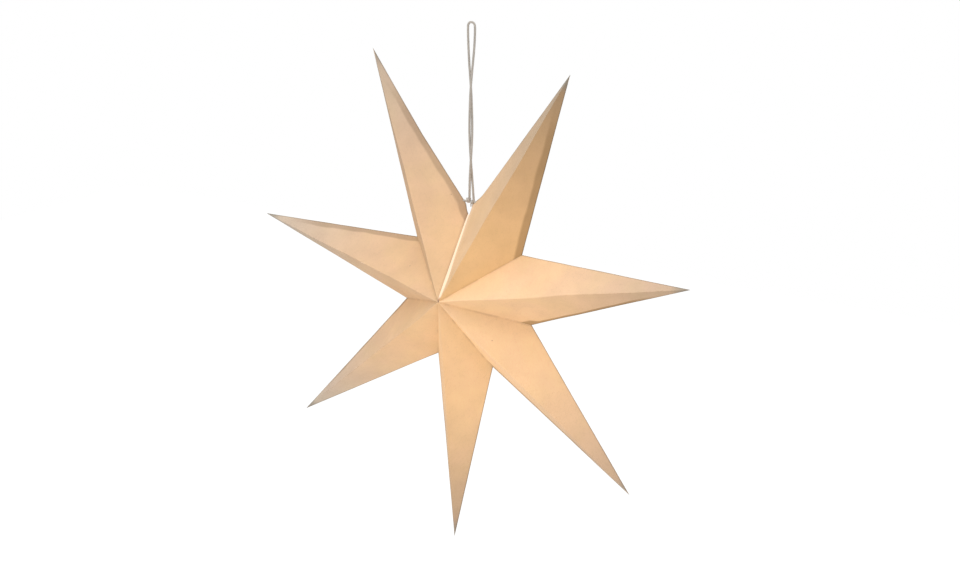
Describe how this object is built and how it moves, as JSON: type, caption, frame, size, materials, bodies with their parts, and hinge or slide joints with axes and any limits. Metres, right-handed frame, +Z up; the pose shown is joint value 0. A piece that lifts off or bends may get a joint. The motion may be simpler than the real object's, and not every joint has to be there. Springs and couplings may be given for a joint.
{
  "type": "folded paper star lantern",
  "caption": "Folded paper star lantern with long hollow points, hung by a twisted cord loop tied through its top notch, lit from inside by a small lamp.",
  "frame": {"origin": "inner side of the top of the cord's loop, where a hook or nail carries it", "axes": "+Z up, the star's front faces -Y and its thickness runs along Y, +X to the right as seen from the front"},
  "size_m": [0.592, 0.1192, 0.6122],
  "materials": {
    "star_paper": "warm tan card with fine fibres, lit through from inside",
    "cord": "twisted greyish beige cotton cord",
    "hook_wire": "drawn wire",
    "housing_plastic": "matte moulded plastic",
    "frosted_globe": "frosted, glowing warm white"
  },
  "bodies": {
    "root": {"star_point_1": "star_paper", "star_point_2": "star_paper", "star_point_3": "star_paper", "star_point_4": "star_paper", "star_point_5": "star_paper", "star_point_6": "star_paper", "star_point_7": "star_paper", "hanging_cord": "cord", "notch_tie": "cord", "lamp_hook": "hook_wire", "lamp_housing": "housing_plastic", "lamp_globe": "frosted_globe"}
  },
  "joints": []
}
